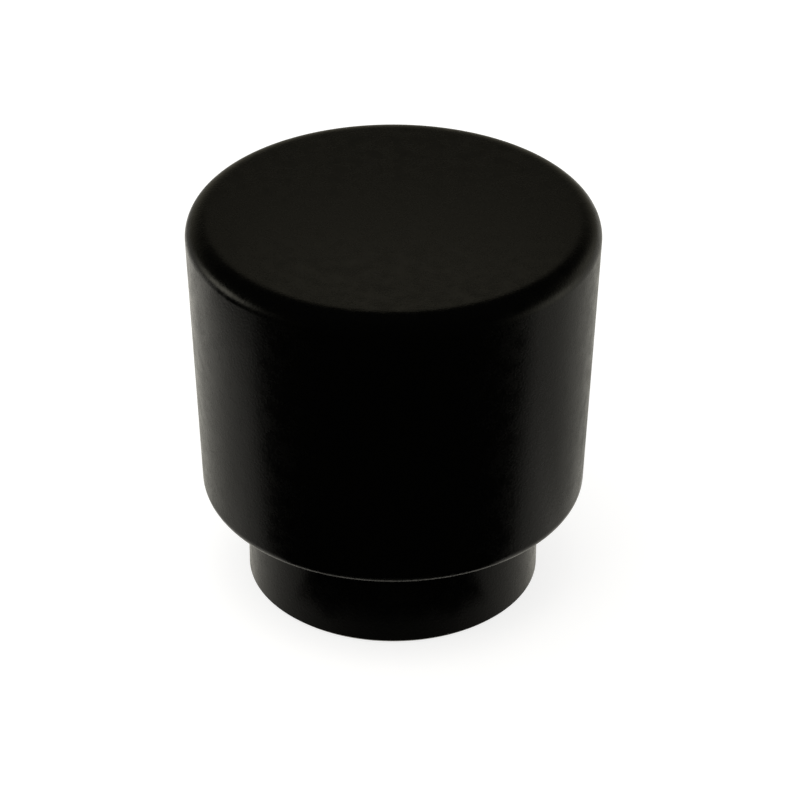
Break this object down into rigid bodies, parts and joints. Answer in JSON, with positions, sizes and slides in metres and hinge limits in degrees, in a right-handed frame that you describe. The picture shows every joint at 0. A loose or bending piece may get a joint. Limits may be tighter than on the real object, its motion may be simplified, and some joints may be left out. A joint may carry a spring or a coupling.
{
  "type": "cabinet knob",
  "caption": "Round cabinet knob: a gently tapered head on a smaller foot, fixed from behind by a screw through the door or drawer front.",
  "frame": {"origin": "centre of the foot's flat rear face, which lies against the door", "axes": "+Z along the knob's axis, from the door towards the hand; the knob is round, so X and Y are any square pair across it"},
  "size_m": [0.03, 0.03, 0.03],
  "materials": {
    "black_powder_coat": "satin"
  },
  "bodies": {
    "root": {"knob": "black_powder_coat"}
  },
  "joints": []
}
